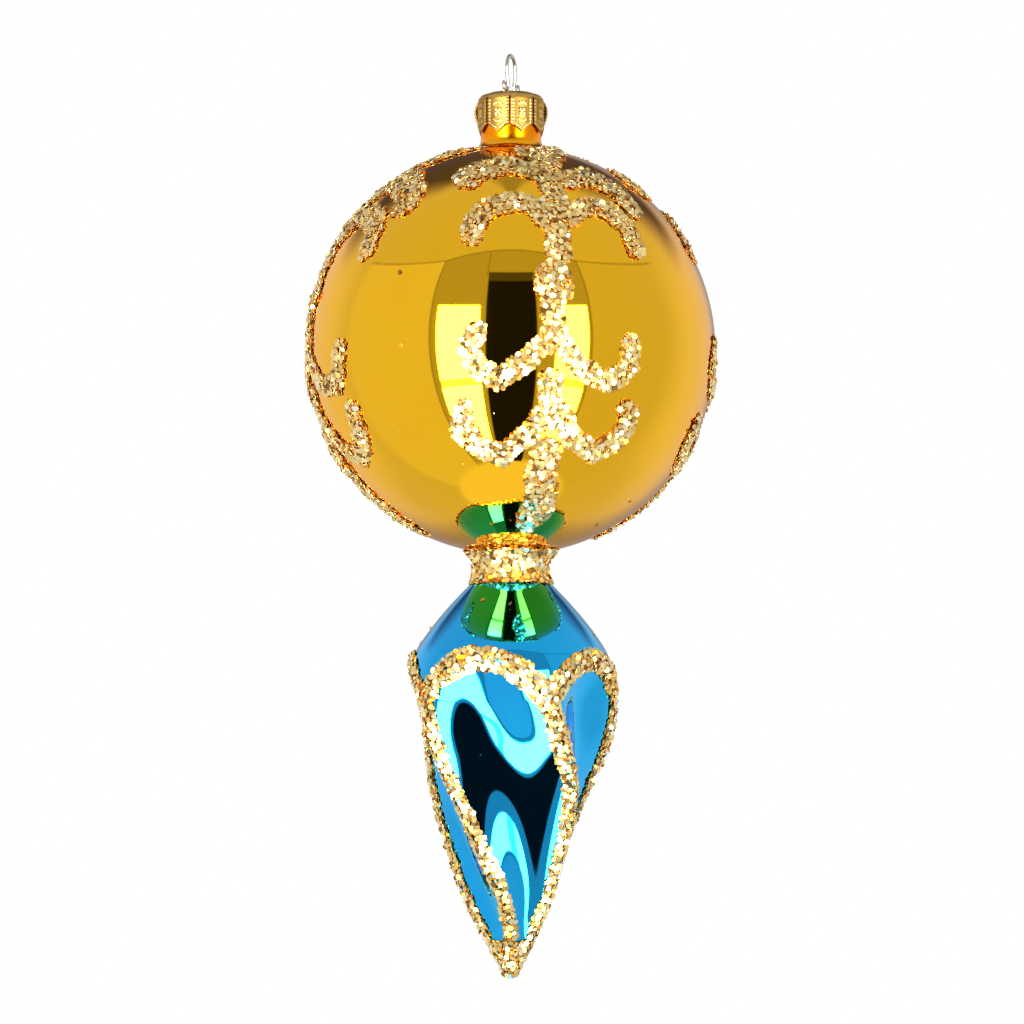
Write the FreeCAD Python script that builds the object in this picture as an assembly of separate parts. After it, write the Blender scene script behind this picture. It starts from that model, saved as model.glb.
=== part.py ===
import FreeCAD, Part
import math
import os

# Blown-glass finial ornament: a gold ball on a narrow waist above a blue swirled drop,
# glitter piped over both, a stamped crown cap and a spring-wire hanger.
# Millimetres. Z is up, the front is -Y, and the origin is the point the ornament hangs
# from, on the inside of the top of the wire loop. Azimuths are degrees from the front,
# positive towards +X.

V = FreeCAD.Vector
UP = V(0, 0, 1)

# glass envelope
glass_wall = 0.7
ball_radius = 40.0
neck_radius = 5.9
neck_flare = 2.5        # radius where the neck turns into the ball
waist_radius = 6.9
waist_gap = 2.8         # from the bottom of the ball down to the narrowest place
waist_sweep = 5.0       # radius of the waist's lower half
drop_start = 3.0        # from the narrowest place down to where the blue begins

# drop
drop_radius = 20.3
drop_length = 76.6
shoulder_length = 20.9  # from its top down to its widest place
tip_radius = 0.5
# down the shoulder, then down the taper: share of the way and share of the radius
shoulder_shape = [(0, 0), (0.06, 0.1), (0.17, 0.275), (0.335, 0.515), (0.5, 0.725),
                  (0.67, 0.895), (0.83, 0.975), (1, 1)]
taper_shape = [(0.12, 0.985), (0.24, 0.905), (0.4, 0.755), (0.57, 0.585), (0.73, 0.415),
               (0.85, 0.24), (0.94, 0.09), (1, 0)]

# pressed petals of the drop
petals = 5
petal_depth = 0.29      # share of the radius that a petal's middle sinks
petal_sink = 15.0       # length over which it sinks, under the arch
petal_fade = 12.0       # length over which it runs out, above the tip
arch_depth = 15.3       # from the top of the drop down to a petal's arch
arch_rise = 8.0
arch_power = 2.2
level_step = 1.5        # between the sections of the drop
# azimuth of the two ridges beside the front petal, from its shoulder (0) to the tip (1)
left_ridge = [(0, -57), (0.2, -51), (0.4, -39), (0.55, -28), (0.7, -12), (0.85, 0), (1, 5)]
right_ridge = [(0, 21), (0.15, 32), (0.3, 47), (0.45, 54), (0.7, 58), (1, 60)]

# glitter
glitter_height = 0.7
glitter_gap = 0.14      # clear of the drop's ridges and hollows
sprig_count = 4
sprig_azimuth = 12.0
collar_angle = 61.0     # how far the collar climbs the waist's upper half, in degrees
outline_width = 4.4
outline_end_width = 2.8
outline_apart = 0.5     # from one outline's start to the edge of its neighbour's
tip_cover = 7.2         # glitter on the tip, from here above it
tip_nib = 1.0           # down to here
outline_stop = 0.5      # from an outline's end to the tip's glitter

# crown cap
hang_height = 6.9       # from the hanging point down to the cap
cap_sheet = 0.25
cap_gap = 0.05          # around the neck
cap_head = 2.0          # from the cap's top down to the rim of the neck
cap_height = 8.4
cap_stand = 0.84        # from the petals' points down to the neck's flare
cap_petals = 8
cap_first_slit = -2.0
slit_start = 1.6        # below the cap's top
slit_width = 0.35
point_length = 1.7
point_blunt = 0.12      # half the width of a petal's point
cap_bulge = 0.7         # how far the petals at the back stand off the neck
bulge_belly = 3.9       # below the cap's top
bulge_end = 6.6

# hanger
wire = 0.7
hole_gap = 0.25         # around a leg in the cap
loop_radius = 3.0
loop_azimuth = 20.0
coil_radius = 0.7
coil_gap = 0.12         # between the turns
coil_drop = 0.15        # how far the coils reach below the middle of the cap's dome
leg_spacing = 2.65
leg_straight = 6.5      # below the coils' middle
leg_length = 18.0
leg_spread = 4.4

# heights of the cap, the neck, the ball and the drop, one from another
cap_top = -hang_height
cap_bottom = cap_top - cap_height
neck_rim = cap_top - cap_head
flare_height = cap_bottom - cap_stand
ball_centre = flare_height - math.sqrt((ball_radius + neck_flare) ** 2
                                       - (neck_radius + neck_flare) ** 2)
waist_height = ball_centre - ball_radius - waist_gap
drop_top = waist_height - drop_start
drop_tip = drop_top - drop_length
arch_top = drop_top - arch_depth
arch_foot = arch_top - arch_rise
tip_start = drop_tip + tip_cover
tip_end = drop_tip + tip_nib
outline_end = tip_start + outline_stop
coil_height = cap_top - coil_drop + coil_radius + wire / 2
coil_shift = wire + coil_gap

# radius of the drop's ridges down its length
drop_neck = waist_radius + waist_sweep - math.sqrt(waist_sweep**2 - drop_start**2)
taper_length = drop_length - shoulder_length
drop_profile = [(drop_top - shoulder_length * down, drop_neck + (drop_radius - drop_neck) * out)
                for down, out in shoulder_shape]
drop_profile += [(drop_top - shoulder_length - taper_length * down,
                  tip_radius + (drop_radius - tip_radius) * out) for down, out in taper_shape]


def radial(azimuth, r, z):
    a = math.radians(azimuth)
    return V(r * math.sin(a), -r * math.cos(a), z)


def smooth(table, at):
    """Read a table of (position, value) with a curve that never overshoots."""
    rows = sorted(table)
    at = min(max(at, rows[0][0]), rows[-1][0])
    steps = [(b[1] - a[1]) / (b[0] - a[0]) for a, b in zip(rows, rows[1:])]
    slopes = [steps[0]]
    for a, b in zip(steps, steps[1:]):
        slopes.append(2 * a * b / (a + b) if a * b > 0 else 0.0)
    slopes.append(steps[-1])
    i = max(k for k in range(len(steps)) if rows[k][0] <= at)
    span = rows[i + 1][0] - rows[i][0]
    t = (at - rows[i][0]) / span
    return ((2 * t**3 - 3 * t**2 + 1) * rows[i][1] + (t**3 - 2 * t**2 + t) * span * slopes[i]
            + (3 * t**2 - 2 * t**3) * rows[i + 1][1] + (t**3 - t**2) * span * slopes[i + 1])


def revolved(edges, angle=360):
    return Part.Face(Part.Wire(edges)).revolve(V(0, 0, 0), UP, angle)


def flat(r, z):
    return V(r, 0, z)


def arc_about(centre, radius, start, end):
    """The short arc about a centre in the XZ plane between two directions, in degrees."""
    def point(degrees):
        a = math.radians(degrees)
        return V(centre.x + radius * math.cos(a), 0, centre.z + radius * math.sin(a))
    return Part.Arc(point(start), point((start + end) / 2), point(end)).toShape()


def bearing(centre, point):
    return math.degrees(math.atan2(point.z - centre.z, point.x - centre.x))


# The glass outline is arcs with shared centres, so any wall is the same outline moved inwards.
ball_mid = flat(0, ball_centre)
flare_mid = flat(neck_radius + neck_flare, flare_height)
waist_drop = ball_centre - waist_height
waist_flare = ((waist_radius**2 + waist_drop**2 - ball_radius**2)
               / (2 * (ball_radius - waist_radius)))
upper_mid = flat(waist_radius + waist_flare, waist_height)
lower_mid = flat(waist_radius + waist_sweep, waist_height)


def lower_bearing(radius):
    return 180 + math.degrees(math.asin(drop_start / radius))


def ball_outline(inset):
    """Edges from the neck rim down to the top of the drop, at this depth under the surface."""
    r = ball_radius - inset
    neck = neck_radius - inset
    flare = neck_flare + inset
    at_flare = bearing(ball_mid, flare_mid)
    at_waist = bearing(ball_mid, upper_mid)
    return [
        Part.makeLine(flat(neck, neck_rim), flat(neck, flare_mid.z)),
        arc_about(flare_mid, flare, 180, at_flare + 180),
        arc_about(ball_mid, r, at_flare, at_waist),
        arc_about(upper_mid, waist_flare + inset, at_waist + 180, 180),
        arc_about(lower_mid, waist_sweep + inset, 180, lower_bearing(waist_sweep + inset)),
    ]


def in_order(edges):
    """The edges' two loose ends, top then bottom."""
    points = [v.Point for e in edges for v in e.Vertexes]
    return max(points, key=lambda p: p.z), min(points, key=lambda p: p.z)


def ball_glass():
    outer, inner = ball_outline(0), ball_outline(glass_wall)
    top_out, low_out = in_order(outer)
    top_in, low_in = in_order(inner)
    edges = outer + inner + [Part.makeLine(top_out, top_in), Part.makeLine(low_out, low_in)]
    return revolved(Part.sortEdges(edges)[0])


def ridge_edges(down):
    """Azimuths of the ridges at this fraction of the way to the tip, front left one first."""
    left, right = smooth(left_ridge, down), smooth(right_ridge, down)
    rest = (360 - (right - left)) / (petals - 1)
    return [left] + [right + k * rest for k in range(petals)]


def drop_fraction(z):
    return min(max((arch_foot - z) / (arch_foot - drop_tip), 0.0), 1.0)


def petal_radius(across, z):
    """Radius of the drop where across runs -1 to 1 over a petal, from ridge to ridge."""
    ridge = smooth(drop_profile, z)
    below = (arch_top - arch_rise * abs(across) ** arch_power - z) / petal_sink
    sink = min(max(below, 0.0), 1.0)
    fade = min(1.0, (z - drop_tip) / petal_fade)
    depth = petal_depth * fade * sink * (2 - sink)
    return ridge * (1 - depth * math.cos(math.pi * across / 2))


def drop_azimuth(petal, across, z):
    edges = ridge_edges(drop_fraction(z))
    return edges[petal] + (edges[petal + 1] - edges[petal]) * (across + 1) / 2


def drop_point(petal, across, z, lift=0.0):
    return radial(drop_azimuth(petal, across, z), petal_radius(across, z) + lift, z)


def drop_section(z, lift):
    edges = []
    for petal in range(petals):
        points = [drop_point(petal, -1 + 2 * k / 10, z, lift) for k in range(11)]
        curve = Part.BSplineCurve()
        curve.interpolate(Points=points, Parameters=[k / 10 for k in range(11)])
        edges.append(curve.toShape())
    return Part.Wire(edges)


def drop_body(lift, top, bottom):
    """The solid inside the drop's surface moved out by lift, between two heights."""
    count = max(4, round((top - bottom) / level_step))
    levels = [top + (bottom - top) * k / count for k in range(count + 1)]
    return Part.makeLoft([drop_section(z, lift) for z in levels], True, True)


def drop_glass():
    outer = drop_body(0, drop_top, drop_tip)
    thick = 2.4 * glass_wall + 2.0  # where the ridges are this close, the tip is solid glass
    shut = max(z / 10 for z in range(int(drop_tip * 10), int(drop_top * 10))
               if smooth(drop_profile, z / 10) < thick)
    inner = drop_body(-glass_wall, drop_top, shut)
    return outer.cut(inner)


# Glitter sprig: strokes as degrees to the right of the stem and degrees above the ball's
# middle, each with its width in millimetres.
sprig_strokes = [
    (4.4, [(9, 64), (4, 39), (1, 21)]),
    (3.4, [(-2, 66), (12, 66), (24, 67)]),
    (3.4, [(2, 50), (-6, 55), (-16, 57), (-26, 54), (-32, 49)]),
    (3.4, [(8, 48), (20, 52), (29, 50), (35, 45), (37, 39)]),
    (3.3, [(0, 33), (-6, 38), (-12, 39), (-19, 37), (-23, 32), (-24, 27)]),
    (3.3, [(7, 33), (17, 38), (24, 37), (28, 31), (29, 24)]),
    (6.0, [(0, 14), (0, 11)]),
    (4.0, [(0, 8), (0, -3)]),
    (3.3, [(-3, -4), (-9, -10), (-15, -13), (-21, -11), (-24, -6), (-22, 0)]),
    (3.3, [(2, -4), (7, -9), (12, -13), (18, -13), (22, -9), (23, -3)]),
    (3.8, [(-1, -14), (0, -25)]),
    (3.2, [(-3, -24), (-8, -30), (-15, -35), (-22, -33), (-27, -28), (-26, -22)]),
    (3.2, [(3, -23), (8, -30), (16, -34), (22, -30), (25, -25), (25, -21)]),
    (5.2, [(-1, -35), (-1, -42), (1, -49), (0, -57)]),
]


def on_front(right, above):
    lon, lat = math.radians(right), math.radians(above)
    return V(ball_radius * math.cos(lat) * math.sin(lon), 0,
             ball_centre + ball_radius * math.sin(lat))


def disc(centre, radius):
    return Part.Face(Part.Wire(Part.makeCircle(radius, centre, V(0, 1, 0))))


def glitter_sprig():
    """One sprig on the front of the ball, as a raised layer in the shape of its strokes."""
    shapes = []
    for width, stroke in sprig_strokes:
        points = [on_front(*p) for p in stroke]
        shapes += [disc(p, width * 0.52) for p in points]
        for a, b in zip(points, points[1:]):
            side = (b - a).cross(V(0, 1, 0)).normalize() * (width / 2)
            shapes.append(Part.Face(Part.makePolygon([a + side, b + side, b - side, a - side,
                                                      a + side])))
    pattern = Part.makeShell(shapes[0].multiFuse(shapes[1:]).Faces).removeSplitter()
    reach = ball_radius + 5
    blocks = [f.extrude(V(0, -reach, 0)) for f in pattern.Faces]
    layer = Part.makeSphere(ball_radius + glitter_height, ball_mid).cut(
        Part.makeSphere(ball_radius, ball_mid))
    pieces = [s for b in blocks for s in layer.common(b).Solids]
    return pieces[0] if len(pieces) == 1 else Part.makeCompound(pieces)


def glitter_collar():
    """The spool of glitter around the waist, from under the ball to the top of the drop."""
    def side(inset):
        return [arc_about(upper_mid, waist_flare + inset, 180 - collar_angle, 180),
                arc_about(lower_mid, waist_sweep + inset, 180, lower_bearing(waist_sweep))]
    inner, outer = side(0), side(-glitter_height)
    top_in, low_in = in_order(inner)
    top_out, low_out = in_order(outer)
    edges = inner + outer + [Part.makeLine(top_in, top_out), Part.makeLine(low_in, low_out)]
    return revolved(Part.sortEdges(edges)[0])


def radial_width(petal, z):
    """Width of a petal in millimetres, along the surface from ridge to ridge."""
    edges = ridge_edges(drop_fraction(z))
    return math.radians(edges[petal + 1] - edges[petal]) * smooth(drop_profile, z)


def outline_path(petal):
    """Points along one petal's outline: over its arch, then down the ridge on its right."""
    path = []
    reach = radial_width(petal, arch_foot)
    start = -1 + 2 * (outline_width / 2 + outline_apart) / reach
    for k in range(17):
        across = start + (1 - start) * k / 16
        path.append((petal, across, arch_top - arch_rise * abs(across) ** arch_power))
    count = 24
    for k in range(1, count + 1):
        path.append((petal, 1.0, arch_foot + (outline_end - arch_foot) * k / count))
    return path


def wrapped(petal, across, z, along, up, lift):
    """A point on the drop moved sideways by along and up in millimetres, over ridges too."""
    z2 = z + up
    azimuth = drop_azimuth(petal, across, z) + math.degrees(
        along / max(petal_radius(across, z), 1.0))
    edges = ridge_edges(drop_fraction(z2))
    while azimuth < edges[0]:
        azimuth += 360
    while azimuth > edges[0] + 360:
        azimuth -= 360
    k = max(i for i in range(petals) if edges[i] <= azimuth + 1e-9)
    u = 2 * (azimuth - edges[k]) / (edges[k + 1] - edges[k]) - 1
    return radial(azimuth, petal_radius(u, z2) + lift, z2)


def glitter_outline(petal):
    path = outline_path(petal)
    sections = []
    for i, (p, across, z) in enumerate(path):
        before, after = path[max(i - 1, 0)], path[min(i + 1, len(path) - 1)]
        r = petal_radius(across, z)
        turn = math.radians(drop_azimuth(*after) - drop_azimuth(*before)) * r
        rise = after[2] - before[2]
        length = math.hypot(turn, rise)
        side = (rise / length, -turn / length)
        down = min(max((arch_foot - z) / (arch_foot - outline_end), 0), 1)
        width = outline_width + (outline_end_width - outline_width) * down

        def at(share, lift):
            return wrapped(p, across, z, side[0] * share * width, side[1] * share * width, lift)

        points = [at(s, glitter_gap) for s in (-0.5, -0.25, 0, 0.25, 0.5)]
        points += [at(s, glitter_height) for s in (0.4, 0, -0.4)]
        middle = drop_point(p, across, z)
        ahead = (drop_point(*after) - drop_point(*before)).normalize()
        points = [q - ahead * (q - middle).dot(ahead) for q in points]
        sections.append(Part.makePolygon(points + points[:1]))
    return Part.makeLoft(sections, True, True)


def glitter_tip():
    outer = drop_body(glitter_height, tip_start, tip_end)
    return outer.cut(drop_body(glitter_gap, tip_start + 1, tip_end - 0.9 * tip_nib))


def crown_cap():
    inner = neck_radius + cap_gap
    skirt = inner + cap_sheet

    def outline(r_out, bulge, inset):
        """Half section of the sheet's face, from the middle of the dome to a petal's tip."""
        shoulder = r_out - 1.1
        top = V(0, 0, cap_top - inset)
        edge = flat(shoulder - inset * 0.3, cap_top - 0.85 - inset)
        turn = flat(r_out - inset - 0.3, cap_top - 1.25 - inset * 0.7)
        wall = flat(r_out - inset, cap_top - 2.0)
        dome_mid = flat((shoulder - inset * 0.3) / 2, cap_top - 0.24 - inset)
        rest = flat(r_out - inset, cap_bottom)
        if not bulge:
            side = [Part.makeLine(wall, rest)]
        else:
            belly = flat(r_out - inset + bulge, cap_top - bulge_belly)
            low = flat(r_out - inset, cap_top - bulge_end)
            side = [Part.Arc(wall, belly, low).toShape(), Part.makeLine(low, rest)]
        return [Part.Arc(top, dome_mid, edge).toShape(), Part.Arc(edge, turn, wall).toShape()] + side

    def shell(bulge, start):
        face, back = outline(skirt, bulge, 0), outline(skirt, bulge, cap_sheet)
        edges = face + back + [
            Part.makeLine(V(0, 0, cap_top), V(0, 0, cap_top - cap_sheet)),
            Part.makeLine(flat(skirt, cap_bottom), flat(inner, cap_bottom))]
        half = Part.Face(Part.Wire(Part.sortEdges(edges)[0]))
        half.rotate(V(0, 0, 0), UP, start - 90)
        return half.revolve(V(0, 0, 0), UP, 180)

    cap = shell(0, cap_first_slit - 90).fuse(shell(cap_bulge, cap_first_slit + 90))
    half = math.pi * skirt / cap_petals - point_blunt
    s = slit_width / 2
    slit_top = cap_top - slit_start
    point_start = cap_bottom + point_length
    outline_points = [(-s, slit_top), (s, slit_top), (s, point_start), (half, cap_bottom),
                      (half, cap_bottom - 1), (-half, cap_bottom - 1),
                      (-half, cap_bottom), (-s, point_start)]
    notch = Part.Face(Part.makePolygon([V(x, -3, z) for x, z in
                                        outline_points + outline_points[:1]]))
    notch = notch.extrude(V(0, -7, 0))
    cuts = []
    for k in range(cap_petals):
        cut = notch.copy()
        cut.rotate(V(0, 0, 0), UP, cap_first_slit + k * 360 / cap_petals)
        cuts.append(cut)
    for side in (-1, 1):
        hole = Part.makeCylinder(wire / 2 + hole_gap, 6, V(side * leg_spacing,
                                                       -side * coil_shift / 2, cap_top - 4))
        hole.rotate(V(0, 0, 0), UP, 90 - loop_azimuth)
        cuts.append(hole)
    return cap.cut(Part.makeCompound(cuts)).removeSplitter()


def hanger_wire():
    """Legs in the neck, a small coil on each side resting on the cap, and the tall loop."""
    def leg():
        """Path in the loop's plane (x across, z up), y is the shift along the coil's axis."""
        points = [V(leg_spread, -coil_shift / 2, coil_height - leg_length)]
        points.append(V((leg_spread + leg_spacing) / 2 + 0.15, -coil_shift / 2,
                        coil_height - (leg_length + leg_straight) / 2))
        points += [V(leg_spacing, -coil_shift / 2, coil_height - leg_straight * share)
                   for share in (1, 0.62, 0.4, 0.2)]
        steps = 10
        for k in range(steps + 1):
            turn = math.pi - 2 * math.pi * k / steps
            points.append(V(leg_spacing + coil_radius * (1 + math.cos(turn)),
                            coil_shift * (k / steps - 0.5),
                            coil_height + coil_radius * math.sin(turn)))
        loop_mid = wire / 2 - loop_radius
        points.append(V(loop_radius, coil_shift * 0.3,
                        coil_height + 0.72 * (loop_mid - coil_height)))
        for k in range(1, 7):
            a = math.radians(15 * k)
            points.append(V(loop_radius * math.cos(a), coil_shift * 0.3 * (1 - k / 6),
                            loop_mid + loop_radius * math.sin(a)))
        return points

    first = leg()
    mirrored = [V(-p.x, -p.y, p.z) for p in reversed(first[:-1])]
    curve = Part.BSplineCurve()
    curve.interpolate(first + mirrored)
    path = Part.Wire(curve.toShape())
    start = first[0]
    ring = Part.Wire(Part.makeCircle(wire / 2, start, curve.tangent(curve.FirstParameter)[0]))
    # the path turns about the coils' axis only, so the section keeps square to that axis
    sweep = Part.BRepOffsetAPI.MakePipeShell(path)
    sweep.setBiNormalMode(V(0, 1, 0))
    sweep.add(ring)
    sweep.build()
    sweep.makeSolid()
    body = sweep.shape()
    # across the loop, x becomes the line from the near left leg to the far right one
    body.rotate(V(0, 0, 0), UP, 90 - loop_azimuth)
    return body


def save(name, shape):
    solids = shape.Solids
    shape = solids[0] if len(solids) == 1 else Part.makeCompound(solids)
    shape.exportStep(os.path.join("parts", name + ".step"))
    box = shape.optimalBoundingBox()
    print(name, "solids", len(solids), "valid", shape.isValid(), "volume", round(shape.Volume, 1),
          "z", round(box.ZMin, 2), round(box.ZMax, 2))


os.makedirs("parts", exist_ok=True)
save("ball_glass", ball_glass())
save("drop_glass", drop_glass())
save("crown_cap", crown_cap())
save("hanger_wire", hanger_wire())
save("glitter_collar", glitter_collar())
sprig = glitter_sprig()
for k in range(sprig_count):
    turned = sprig.copy()
    turned.rotate(V(0, 0, 0), UP, sprig_azimuth + k * 360 / sprig_count)
    save("glitter_sprig_%d" % (k + 1), turned)
for k in range(petals):
    save("glitter_outline_%d" % (k + 1), glitter_outline(k))
save("glitter_tip", glitter_tip())
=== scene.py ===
import bpy
import bmesh
import math
import numpy
import random
from mathutils import Matrix, Vector, noise


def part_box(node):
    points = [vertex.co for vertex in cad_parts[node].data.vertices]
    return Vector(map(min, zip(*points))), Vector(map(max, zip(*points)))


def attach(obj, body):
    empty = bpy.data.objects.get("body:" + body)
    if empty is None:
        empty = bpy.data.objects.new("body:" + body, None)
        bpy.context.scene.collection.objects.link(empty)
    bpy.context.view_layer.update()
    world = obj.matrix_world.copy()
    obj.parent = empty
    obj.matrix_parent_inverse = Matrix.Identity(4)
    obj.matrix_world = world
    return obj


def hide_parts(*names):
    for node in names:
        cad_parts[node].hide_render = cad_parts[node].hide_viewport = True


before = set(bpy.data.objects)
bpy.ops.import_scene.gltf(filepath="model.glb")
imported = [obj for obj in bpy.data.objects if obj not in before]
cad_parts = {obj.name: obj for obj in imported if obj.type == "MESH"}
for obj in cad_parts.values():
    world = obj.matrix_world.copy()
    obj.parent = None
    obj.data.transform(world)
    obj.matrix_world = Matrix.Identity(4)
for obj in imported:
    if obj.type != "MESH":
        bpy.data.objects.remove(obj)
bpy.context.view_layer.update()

print("frame loaded")


class Socket:
    # one output in a node tree; sums and products of it add the nodes that they need
    def __init__(self, tree, output=None):
        self.tree = tree
        self.output = output

    def add(self, kind, settings=None, inputs=None, output=0):
        node = self.tree.nodes.new(kind)
        for key, value in (settings or {}).items():
            setattr(node, key, value)
        for key, value in (inputs or {}).items():
            plug(self.tree, node.inputs[key], value)
        return Socket(self.tree, node.outputs[output])

    def twin(self, name):
        return Socket(self.tree, self.output.node.outputs[name])

    def math(self, operation, *terms):
        wide = any(isinstance(t, tuple) or isinstance(t, Socket) and t.output.type in
                   ("VECTOR", "RGBA") for t in terms)
        kind = "ShaderNodeVectorMath" if wide else "ShaderNodeMath"
        return self.add(kind, {"operation": operation}, dict(enumerate(terms)))

    def __add__(self, other):
        return self.math("ADD", self, other)

    def __radd__(self, other):
        return self.math("ADD", other, self)

    def __sub__(self, other):
        return self.math("SUBTRACT", self, other)

    def __rsub__(self, other):
        return self.math("SUBTRACT", other, self)

    def __mul__(self, other):
        return self.math("MULTIPLY", self, other)

    def __rmul__(self, other):
        return self.math("MULTIPLY", other, self)

    def __neg__(self):
        return self.math("MULTIPLY", self, -1.0)

    def __abs__(self):
        return self.math("ABSOLUTE", self)

    def rise(self, low, high):
        # 0 below low, 1 above high, smooth between them
        return self.add("ShaderNodeMapRange", {"interpolation_type": "SMOOTHSTEP"},
                        {"Value": self, "From Min": low, "From Max": high})

    def band(self, low, high, soft):
        return self.rise(low - soft, low + soft) * (1.0 - self.rise(high - soft, high + soft))

    def between(self, low, high):
        # a colour that goes from low to high as this goes from 0 to 1
        return self.add("ShaderNodeMix", {"data_type": "RGBA"}, {0: self, 6: low, 7: high}, 2)

    def objectPlace(self):
        return self.add("ShaderNodeTexCoord", output="Object")

    def cloud(self, scale, detail=2.0, where=None):
        where = where or self.objectPlace()
        return self.add("ShaderNodeTexNoise", None,
                        {"Vector": where, "Scale": scale, "Detail": detail})

    def relief(self, height, depth):
        return self.add("ShaderNodeBump", None,
                        {"Height": height, "Distance": depth, "Strength": 1.0})


def plug(tree, slot, value):
    if isinstance(value, Socket):
        tree.links.new(value.output, slot)
    elif isinstance(value, tuple):
        slot.default_value = (*value, 1.0) if slot.type == "RGBA" else value
    else:
        slot.default_value = value


def makeMaterial(name, fixed, paint):
    made = bpy.data.materials.new(name)
    made.use_nodes = True
    shader = made.node_tree.nodes["Principled BSDF"]
    for key, value in fixed.items():
        plug(made.node_tree, shader.inputs[key], value)
    for key, value in paint(Socket(made.node_tree)).items():
        plug(made.node_tree, shader.inputs[key], value)
    return made


ballLow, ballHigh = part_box("ball_glass")
dropLow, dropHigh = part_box("drop_glass")
capLow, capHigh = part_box("crown_cap")

glass = {
    "wall": 0.0007,
    "ballRadius": (ballHigh[0] - ballLow[0]) / 2,
    "neckRadius": 0.0059,
    "neckFlare": 0.0025,
    "waistRadius": 0.0069,
    "waistGap": 0.0028,
    "waistSweep": 0.005,
    "dropStart": 0.003,
    "rim": ballHigh[2],
    "dropTop": dropHigh[2],
    "dropTip": dropLow[2],
    "columns": 240,
    "neckSteps": 10,
    "flareSteps": 12,
    "ballSteps": 150,
    "upperSteps": 14,
    "lowerSteps": 8,
}
glass["waistHeight"] = glass["dropTop"] + glass["dropStart"]
glass["ballCentre"] = glass["waistHeight"] + glass["waistGap"] + glass["ballRadius"]


def smooth(table, at):
    # reads a table of (position, value) with a curve that never overshoots
    rows = sorted(table)
    at = min(max(at, rows[0][0]), rows[-1][0])
    steps = [(b[1] - a[1]) / (b[0] - a[0]) for a, b in zip(rows, rows[1:])]
    slopes = [steps[0]]
    for a, b in zip(steps, steps[1:]):
        slopes.append(2 * a * b / (a + b) if a * b > 0 else 0.0)
    slopes.append(steps[-1])
    i = max(k for k in range(len(steps)) if rows[k][0] <= at)
    span = rows[i + 1][0] - rows[i][0]
    t = (at - rows[i][0]) / span
    return ((2 * t**3 - 3 * t**2 + 1) * rows[i][1] + (t**3 - 2 * t**2 + t) * span * slopes[i]
            + (3 * t**2 - 2 * t**3) * rows[i + 1][1] + (t**3 - t**2) * span * slopes[i + 1])


def radial(azimuth, radius, z):
    # azimuth in degrees from the front, positive towards +X
    a = math.radians(azimuth)
    return Vector((radius * math.sin(a), -radius * math.cos(a), z))


def linkPiece(name, mesh, body, nodes, materials):
    obj = bpy.data.objects.new(name, mesh)
    bpy.context.scene.collection.objects.link(obj)
    for material in materials:
        mesh.materials.append(material)
    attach(obj, body)
    if nodes:
        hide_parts(*nodes)
    return obj


def finishMesh(name, points, faces, smoothAngle=None):
    mesh = bpy.data.meshes.new(name)
    mesh.from_pydata([tuple(p) for p in points], [], faces)
    shell = bmesh.new()
    shell.from_mesh(mesh)
    bmesh.ops.recalc_face_normals(shell, faces=shell.faces)
    shell.to_mesh(mesh)
    shell.free()
    if smoothAngle is not None:
        mesh.shade_smooth()
        mesh.set_sharp_from_angle(angle=math.radians(smoothAngle))
    return mesh


def ringFaces(rings, columns, closed=False):
    # quads between rings of points, which follow one another in one list
    faces = []
    for i in range(rings if closed else rings - 1):
        for j in range(columns):
            a, b = i * columns + j, i * columns + (j + 1) % columns
            c, d = ((i + 1) % rings) * columns + (j + 1) % columns, ((i + 1) % rings) * columns + j
            faces.append((a, b, c, d))
    return faces


def setRevolvedUv(mesh, rings, columns):
    # around and along, so that no two faces share a place
    layer = mesh.uv_layers.new(name="OFBake")
    for face in mesh.polygons:
        rows = [mesh.loops[k].vertex_index // columns for k in face.loop_indices]
        across = [mesh.loops[k].vertex_index % columns for k in face.loop_indices]
        for k, row, column in zip(face.loop_indices, rows, across):
            if max(across) - min(across) > columns / 2 and column == 0:
                column = columns
            if max(rows) - min(rows) > rings / 2 and row == 0:
                row = rings
            layer.data[k].uv = (column / columns, row / rings)


# the glass outline is arcs with shared centres, so any wall is the same outline moved inwards
ballMiddle = Vector((0, 0, glass["ballCentre"]))
flareMiddle = Vector((glass["neckRadius"] + glass["neckFlare"], 0, 0))
flareMiddle.z = ballMiddle.z + math.sqrt((glass["ballRadius"] + glass["neckFlare"]) ** 2
                                         - flareMiddle.x ** 2)
waistDrop = glass["ballCentre"] - glass["waistHeight"]
waistFlare = ((glass["waistRadius"] ** 2 + waistDrop ** 2 - glass["ballRadius"] ** 2)
              / (2 * (glass["ballRadius"] - glass["waistRadius"])))
upperMiddle = Vector((glass["waistRadius"] + waistFlare, 0, glass["waistHeight"]))
lowerMiddle = Vector((glass["waistRadius"] + glass["waistSweep"], 0, glass["waistHeight"]))


def bearing(start, end):
    return math.degrees(math.atan2(end.z - start.z, end.x - start.x))


def arcPoints(middle, radius, start, end, count):
    angles = [math.radians(start + (end - start) * k / count) for k in range(count + 1)]
    return [middle + Vector((radius * math.cos(a), 0, radius * math.sin(a))) for a in angles]


def lowerBearing(radius):
    return 180 + math.degrees(math.asin(glass["dropStart"] / radius))


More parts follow.
